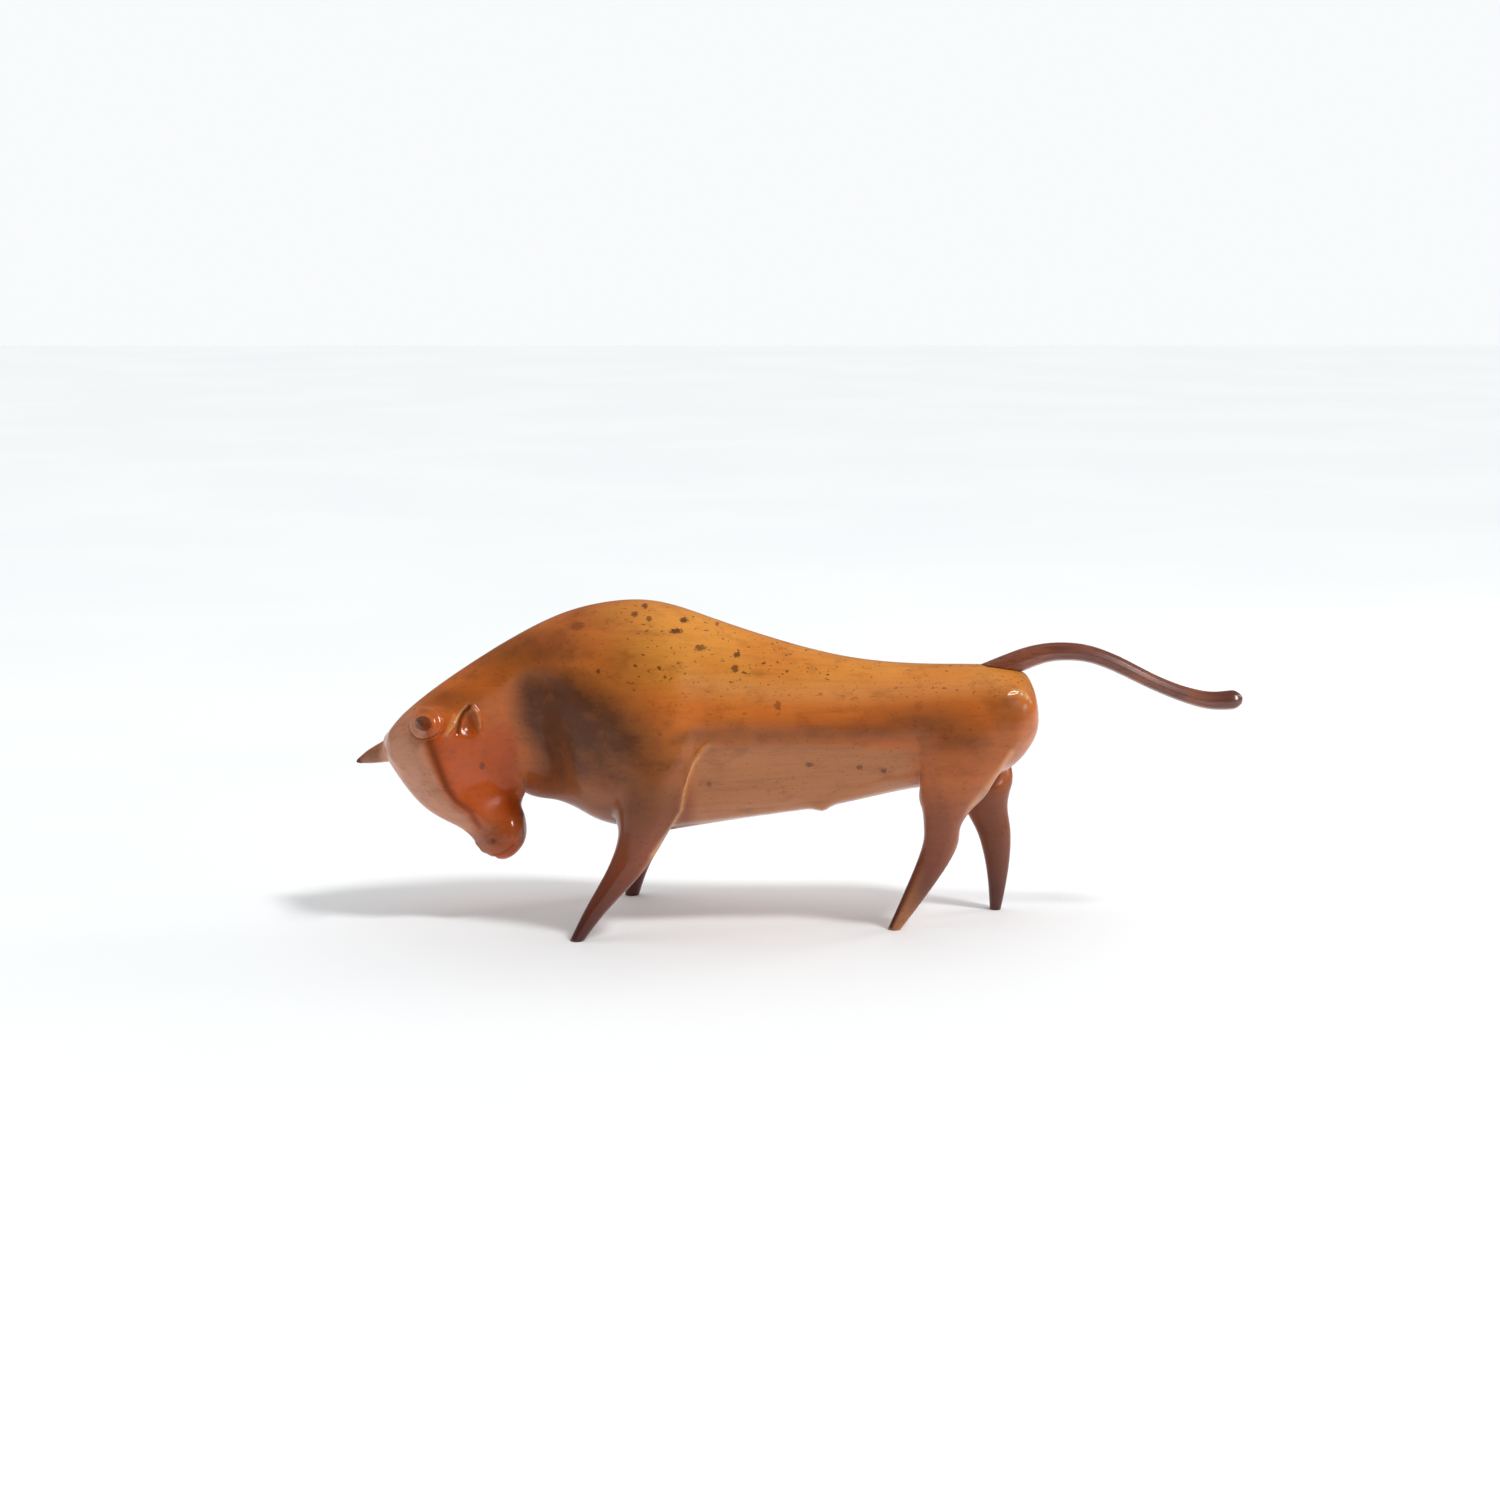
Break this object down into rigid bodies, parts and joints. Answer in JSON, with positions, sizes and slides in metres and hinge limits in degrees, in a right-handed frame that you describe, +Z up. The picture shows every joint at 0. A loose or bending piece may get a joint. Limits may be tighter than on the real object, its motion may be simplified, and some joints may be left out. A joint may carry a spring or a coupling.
{
  "type": "bull sculpture",
  "caption": "Stylised carved wooden bull, head lowered and turned to its left, on tapered legs, with a dark rod tail curving out behind.",
  "frame": {"origin": "on the ground, under the middle of the figure's bounding box", "axes": "+X from the head to the tail, -Y out of the bull's left side, +Z up"},
  "size_m": [0.4887, 0.1116, 0.1788],
  "materials": {
    "golden_brown_wood": "polished, with darker blotches, pores and darker feet",
    "dark_red_wood": "polished"
  },
  "bodies": {
    "root": {"bull": "golden_brown_wood", "tail": "dark_red_wood"}
  },
  "joints": []
}
